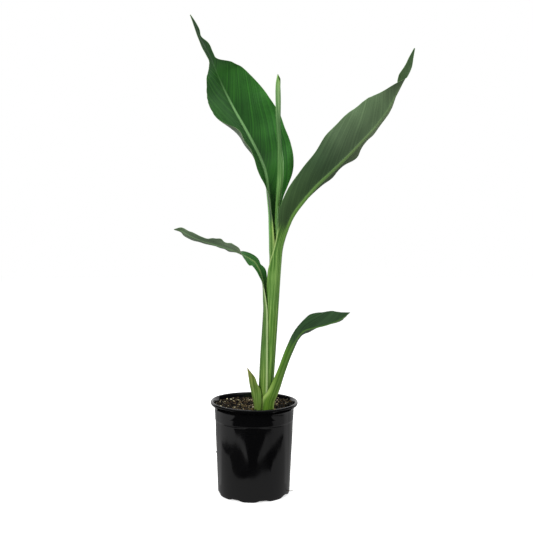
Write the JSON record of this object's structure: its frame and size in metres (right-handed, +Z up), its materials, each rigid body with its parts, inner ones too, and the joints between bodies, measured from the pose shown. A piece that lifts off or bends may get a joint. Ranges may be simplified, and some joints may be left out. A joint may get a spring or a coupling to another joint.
{
  "type": "potted canna lily",
  "caption": "Young canna lily with two large blades, a rolled spear, two small leaves and a basal bract, growing in potting mix in a black nursery pot.",
  "frame": {"origin": "middle of the pot's underside, on the surface that the pot stands on", "axes": "+Z up along the pot's axis, -Y the side with the side shoot in front, +X the side that the right-hand leaf reaches to"},
  "size_m": [0.4382, 0.1694, 0.9174],
  "materials": {
    "pot": "gloss",
    "soil": "matte",
    "rhizome_stalk": "satin",
    "leaf_left": "satin",
    "leaf_right": "satin",
    "leaf_spear": "satin",
    "leaf_lower": "satin",
    "leaf_shoot": "satin",
    "basal_bract": "satin"
  },
  "bodies": {
    "root": {"pot": "pot", "soil": "soil", "rhizome_stalk": "rhizome_stalk", "leaf_left": "leaf_left", "leaf_right": "leaf_right", "leaf_spear": "leaf_spear", "leaf_lower": "leaf_lower", "leaf_shoot": "leaf_shoot", "basal_bract": "basal_bract"}
  },
  "joints": []
}
